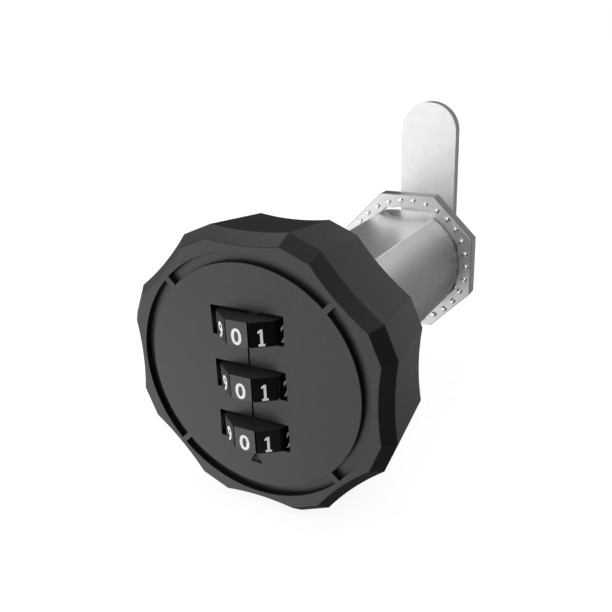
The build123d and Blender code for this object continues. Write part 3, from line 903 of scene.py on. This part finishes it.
class LOCK_OT_build_wheels(bpy.types.Operator):
    """Notches the corners of the number wheels and adds their figures"""

    bl_idname = "lock.build_wheels"
    bl_label = "Build Number Wheels"

    def execute(self, context):
        sizes = context.scene.lock_knob
        for place in WHEELS:
            node = f"number_wheel_{place}"
            low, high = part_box(node)
            middle_z = (low.z + high.z) / 2
            corner = (high.x - low.x) / 2
            body = f"wheel_{place}"
            wheel = copy_of_node(node, body)

            def on_rim(point, corner=corner):
                return reach_of(point) > corner - WHEEL_RIM

            def on_side(face):
                return abs(face.normal.z) > SIDE_TILT

            self.notch_corners(wheel, corner, sizes)
            round_edges(wheel, on_rim, sizes.wheel_round, least_angle=60)
            smooth(wheel, angle=20)
            dress(wheel, finishes()["wheel_gloss"], body, "wheel_black", node)
            # The flat sides take the paler black, as painted light
            dress_faces(wheel, finishes()["wheel_side"], on_side)
            figures = self.add_figures(place, corner, middle_z, sizes)
            dress(figures, finishes()["figure_white"], body, "wheel_black")
        return {"FINISHED"}

    def notch_corners(self, wheel, corner, sizes):
        """Splits each upright corner in three and draws its middle towards the axle."""
        with edit_mode(wheel, "EDGE"):
            mesh = bmesh.from_edit_mesh(wheel.data)
            for edge in mesh.edges:
                a, b = (vertex.co for vertex in edge.verts)
                upright = abs(a.z - b.z) > UPRIGHT_LENGTH
                outer = min(reach_of(a), reach_of(b)) > corner - CORNER_REACH
                edge.select_set(upright and outer)
            bmesh.update_edit_mesh(wheel.data)
            bpy.ops.mesh.bevel(offset=sizes.notch_width, segments=2, affect="EDGES")
        with edit_mode(wheel, "VERT"):
            bpy.ops.mesh.select_all(action="DESELECT")
            mesh = bmesh.from_edit_mesh(wheel.data)
            reaches = []
            for vertex in mesh.verts:
                angle = math.atan2(vertex.co.x, WHEEL_AXIS_Y - vertex.co.y)
                turns = (angle / FACET_ANGLE) % 1.0
                outer = reach_of(vertex.co) > corner - NOTCH_REACH
                if outer and abs(turns - 0.5) < NOTCH_TURN:
                    vertex.select_set(True)
                    reaches.append(reach_of(vertex.co))
            if not reaches:
                raise RuntimeError(f"{wheel.name} has no corner to notch")
            mesh.select_flush(True)
            bmesh.update_edit_mesh(wheel.data)
            share = 1 - sizes.notch_depth / max(reaches)
            bpy.ops.transform.resize(
                value=(share, share, 1),
                center_override=(0, WHEEL_AXIS_Y, 0),
            )

    def add_figures(self, place, corner, middle_z, sizes):
        """The ten figures of one wheel, as one mesh just proud of its facets."""
        flat = corner * math.cos(FACET_ANGLE / 2)
        made = []
        for figure in range(FIGURES):
            piece = self.add_one() if figure == 1 else self.add_text_figure(figure)
            xs = [vertex.co.x for vertex in piece.data.vertices]
            ys = [vertex.co.y for vertex in piece.data.vertices]
            middle = Vector(((min(xs) + max(xs)) / 2, (min(ys) + max(ys)) / 2, 0))
            size = sizes.figure_height / (max(ys) - min(ys))
            turn = Matrix.Rotation(figure * FACET_ANGLE, 4, "Z")
            upright = Matrix.Rotation(math.pi / 2, 4, "X")
            width = size if figure == 1 else size * sizes.figure_stretch
            shape = Matrix.Diagonal((width, size, sizes.figure_relief / FIGURE_HALF, 1))
            piece.matrix_world = (
                Matrix.Translation((0, WHEEL_AXIS_Y, middle_z - sizes.figure_drop))
                @ turn
                @ Matrix.Translation((sizes.figure_shift, -flat, 0))
                @ upright
                @ shape
                @ Matrix.Translation(-middle)
            )
            settle(piece)
            made.append(piece)
        bpy.ops.object.select_all(action="DESELECT")
        for piece in made:
            piece.select_set(True)
        bpy.context.view_layer.objects.active = made[0]
        bpy.ops.object.join()
        figures = bpy.context.active_object
        figures.name = f"figures_{place}"
        return figures

    def add_text_figure(self, figure):
        """One figure as a thin mesh in the built-in font."""
        bpy.ops.object.select_all(action="DESELECT")
        bpy.ops.object.text_add()
        text = bpy.context.active_object
        text.data.body = str(figure)
        text.data.offset = FIGURE_WEIGHT
        text.data.extrude = FIGURE_HALF
        text.data.resolution_u = FIGURE_STEPS
        bpy.ops.object.convert(target="MESH")
        return bpy.context.active_object

    def add_one(self):
        """The figure one as a thin mesh."""
        points = [(x, y, -FIGURE_HALF) for x, y in ONE_OUTLINE]
        mesh = bpy.data.meshes.new("figure_one")
        mesh.from_pydata(points, [], [range(len(points))])
        piece = bpy.data.objects.new("figure_one", mesh)
        bpy.context.scene.collection.objects.link(piece)
        with edit_mode(piece, "FACE"):
            bpy.ops.mesh.select_all(action="SELECT")
            bpy.ops.mesh.extrude_region_move(
                TRANSFORM_OT_translate={"value": (0, 0, 2 * FIGURE_HALF)},
            )
        face_outwards(piece)
        return piece


class LOCK_OT_build_barrel(bpy.types.Operator):
    """Cuts the fine thread into the barrel"""

    bl_idname = "lock.build_barrel"
    bl_label = "Build Barrel"

    def execute(self, context):
        sizes = context.scene.lock_metal
        barrel = copy_of_node("barrel", "threaded_barrel")
        for cutter in (self.add_turning_cutter(sizes), self.add_thread_cutter(sizes)):
            cut = barrel.modifiers.new("thread", "BOOLEAN")
            cut.operation = "DIFFERENCE"
            cut.solver = "MANIFOLD"
            cut.object = cutter
            apply_modifier(barrel, cut)
            bpy.data.objects.remove(cutter)
        bpy.ops.object.shade_smooth_by_angle(angle=THREAD_SMOOTH)
        dress(barrel, finishes()["barrel_plate"], "barrel", "barrel_steel", "barrel")
        return {"FINISHED"}

    def add_turning_cutter(self, sizes):
        """Ring that turns the barrel and its chamfer to a finely stepped round."""
        low, high = THREAD_START, BARREL_END_Y + CUTTER_REACH
        inner, outer = THREAD_CREST, BARREL_RADIUS + CUTTER_REACH
        points = (
            (inner, low, 0),
            (outer, low, 0),
            (outer, high, 0),
            (inner - END_CHAMFER - CUTTER_REACH, high, 0),
            (inner, BARREL_END_Y - END_CHAMFER, 0),
        )
        cutter = self.add_section("turning_cutter", points)
        turn = cutter.modifiers.new("turn", "SCREW")
        turn.axis = "Y"
        turn.angle = 2 * math.pi
        turn.steps = 2 * sizes.thread_steps
        turn.render_steps = 2 * sizes.thread_steps
        turn.use_merge_vertices = True
        turn.merge_threshold = MERGE_DISTANCE
        apply_modifier(cutter, turn)
        face_outwards(cutter)
        return cutter

    def add_section(self, name, points):
        """Closed outline of a cutter, ready to be turned about the barrel's axis."""
        mesh = bpy.data.meshes.new(name)
        count = len(points)
        mesh.from_pydata(points, [(i, (i + 1) % count) for i in range(count)], [])
        cutter = bpy.data.objects.new(name, mesh)
        bpy.context.scene.collection.objects.link(cutter)
        return cutter

    def add_thread_cutter(self, sizes):
        """Closed coil whose section is the thread's groove."""
        half = (sizes.thread_depth + CUTTER_REACH) * math.tan(THREAD_FLANK)
        outer = THREAD_CREST + CUTTER_REACH
        points = (
            (THREAD_CREST - sizes.thread_depth, THREAD_START, 0),
            (outer, THREAD_START + half, 0),
            (outer, THREAD_START - half, 0),
        )
        cutter = self.add_section("thread_cutter", points)
        coil = cutter.modifiers.new("coil", "SCREW")
        coil.axis = "Y"
        coil.angle = 2 * math.pi
        coil.screw_offset = sizes.thread_pitch
        coil.iterations = math.ceil(BARREL_END_Y / sizes.thread_pitch) + 1
        coil.steps = sizes.thread_steps
        coil.render_steps = sizes.thread_steps
        coil.use_merge_vertices = False
        apply_modifier(cutter, coil)
        with edit_mode(cutter, "EDGE"):
            bpy.ops.mesh.select_all(action="DESELECT")
            bpy.ops.mesh.select_non_manifold()
            bpy.ops.mesh.fill()
        face_outwards(cutter)
        return cutter


class LOCK_OT_build_nut(bpy.types.Operator):
    """Breaks the edges of the panel nut"""

    bl_idname = "lock.build_nut"
    bl_label = "Build Panel Nut"

    def execute(self, context):
        sizes = context.scene.lock_metal
        nut = copy_of_node("panel_nut", "dotted_nut")
        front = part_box("panel_nut")[1].y - NUT_THICKNESS - DOT_MARGIN

        def on_outside(point):
            return radius_of(point) > NUT_OUTSIDE

        def on_rim(face):
            across = abs(face.normal.y) < RIM_TILT
            return across and on_outside(face.calc_center_median())

        def on_dots(face):
            return face.calc_center_median().y < front

        self.widen_dots(nut, front, sizes)
        round_edges(nut, on_outside, sizes.nut_edge, least_angle=30)
        smooth(nut)
        dress(nut, finishes()["nut_plate"], "nut", "nut_steel", "panel_nut")
        # The nut's rim faces get the darker metal, as painted shade
        dress_faces(nut, finishes()["rim_plate"], on_rim)
        # The raised dots get the paler metal, as a painted highlight
        dress_faces(nut, finishes()["dot_plate"], on_dots)
        return {"FINISHED"}

    def widen_dots(self, nut, front, sizes):
        """Widens each raised dot about its own middle."""
        step = 2 * math.pi / DOTS
        groups = {}
        with edit_mode(nut, "VERT"):
            mesh = bmesh.from_edit_mesh(nut.data)
            for vertex in mesh.verts:
                off_ring = abs(radius_of(vertex.co) - DOT_RING)
                raised = vertex.co.y < front + 2 * DOT_MARGIN
                if raised and off_ring < DOT_RADIUS + DOT_MARGIN:
                    dot = round(math.atan2(vertex.co.z, vertex.co.x) / step) % DOTS
                    groups.setdefault(dot, []).append(vertex.index)
            if len(groups) != DOTS:
                raise RuntimeError(f"{nut.name} has {len(groups)} dots to widen")
            for dot, members in groups.items():
                bpy.ops.mesh.select_all(action="DESELECT")
                mesh = bmesh.from_edit_mesh(nut.data)
                mesh.verts.ensure_lookup_table()
                for index in members:
                    mesh.verts[index].select_set(True)
                mesh.select_flush(True)
                bmesh.update_edit_mesh(nut.data)
                x, z = math.cos(dot * step), math.sin(dot * step)
                bpy.ops.transform.resize(
                    value=(sizes.dot_growth, 1, sizes.dot_growth),
                    center_override=(DOT_RING * x, front, DOT_RING * z),
                )


class LOCK_OT_build_cam(bpy.types.Operator):
    """Rounds the rim of the cam"""

    bl_idname = "lock.build_cam"
    bl_label = "Build Cam"

    def execute(self, context):
        width = context.scene.lock_metal.cam_edge
        cam = copy_of_node("cam", "rounded_cam")

        def on_outline(point):
            return abs(point.x) > CAM_ACROSS or abs(point.z) > CAM_ALONG

        def on_rim(face):
            across = abs(face.normal.y) < RIM_TILT
            return across and on_outline(face.calc_center_median())

        round_edges(cam, on_outline, width, least_angle=60, segments=3)
        smooth(cam)
        dress(cam, finishes()["cam_plate"], "knob", "cam_steel", "cam")
        # The cam's rim faces get the darker metal, as painted shade
        dress_faces(cam, finishes()["rim_plate"], on_rim)
        return {"FINISHED"}


class LOCK_OT_build_fasteners(bpy.types.Operator):
    """Rounds the edges of the cam's screw and washers"""

    bl_idname = "lock.build_fasteners"
    bl_label = "Build Fasteners"

    def execute(self, context):
        width = context.scene.lock_metal.fastener_edge
        for node in ("cam_screw", "flat_washer", "split_washer"):
            piece = copy_of_node(node, f"rounded_{node}")
            round_edges(piece, lambda point: True, width, least_angle=40)
            smooth(piece)
            dress(piece, finishes()["screw_plate"], "knob", "screw_steel", node)
        return {"FINISHED"}


class LOCK_OT_build_axle_spring(bpy.types.Operator):
    """Copies the axle's spring into a piece with a mesh of its own"""

    bl_idname = "lock.build_axle_spring"
    bl_label = "Build Axle Spring"

    def execute(self, context):
        spring = copy_of_node("axle_spring", "sprung_axle_spring")
        bpy.ops.object.shade_smooth()
        dress(spring, finishes()["spring_wire"], "axle", "screw_steel", "axle_spring")
        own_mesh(spring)
        return {"FINISHED"}


class LOCK_OT_finish_small_parts(bpy.types.Operator):
    """Gives the plates, springs, sleeves, washers and screws their metal finishes"""

    bl_idname = "lock.finish_small_parts"
    bl_label = "Finish Small Parts"

    def execute(self, context):
        materials = finishes()
        groups = {
            "zinc_cast": ("back_plate", "wheel_cradle", "fence"),
            "brass_turned": (
                "code_sleeve_top",
                "code_sleeve_middle",
                "code_sleeve_bottom",
                "sleeve_spacers",
            ),
            "spring_wire": ("detent_spring",),
            "screw_plate": (
                "plate_screws",
                "detent_rivets",
                "wheel_axle",
            ),
            "cam_plate": ("stop_washer",),
            "barrel_plate": ("spindle",),
        }
        for material, nodes in groups.items():
            for node in nodes:
                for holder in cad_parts[node].material_slots:
                    holder.material = materials[material]
        return {"FINISHED"}


class LOCK_PT_panel(bpy.types.Panel):
    """Sizes, colours and steps of the locker lock"""

    bl_label = "Locker Lock"
    bl_idname = "LOCK_PT_panel"
    bl_space_type = "VIEW_3D"
    bl_region_type = "UI"
    bl_category = "Locker Lock"

    def draw(self, context):
        scene = context.scene
        for title, group in (
            ("Knob and wheels", scene.lock_knob),
            ("Metal parts", scene.lock_metal),
            ("Colours", scene.lock_colours),
            ("Stage", scene.lock_stage),
        ):
            box = self.layout.box()
            box.label(text=title)
            for name in group.__annotations__:
                box.prop(group, name)
        for step in BUILD_STEPS:
            self.layout.operator(step.bl_idname)


BUILD_STEPS = (
    LOCK_OT_build_stage,
    LOCK_OT_build_knob,
    LOCK_OT_build_wheels,
    LOCK_OT_build_barrel,
    LOCK_OT_build_nut,
    LOCK_OT_build_cam,
    LOCK_OT_build_fasteners,
    LOCK_OT_build_axle_spring,
    LOCK_OT_finish_small_parts,
)
SETTINGS = {
    "lock_knob": KnobSizes,
    "lock_metal": MetalSizes,
    "lock_colours": FinishColours,
    "lock_stage": StageSettings,
}


def register():
    """Adds the settings, operators and panel to Blender."""
    for name, group in SETTINGS.items():
        bpy.utils.register_class(group)
        setattr(bpy.types.Scene, name, PointerProperty(type=group))
    for step in BUILD_STEPS:
        bpy.utils.register_class(step)
    bpy.utils.register_class(LOCK_PT_panel)


def unregister():
    """Takes the panel, operators and settings out of Blender."""
    bpy.utils.unregister_class(LOCK_PT_panel)
    for step in reversed(BUILD_STEPS):
        bpy.utils.unregister_class(step)
    for name, group in reversed(SETTINGS.items()):
        delattr(bpy.types.Scene, name)
        bpy.utils.unregister_class(group)


def main():
    """Registers the add-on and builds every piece."""
    register()
    bpy.ops.lock.build_stage()
    bpy.ops.lock.build_knob()
    bpy.ops.lock.build_wheels()
    bpy.ops.lock.build_barrel()
    bpy.ops.lock.build_nut()
    bpy.ops.lock.build_cam()
    bpy.ops.lock.build_fasteners()
    bpy.ops.lock.build_axle_spring()
    bpy.ops.lock.finish_small_parts()


if __name__ == "__main__":
    main()
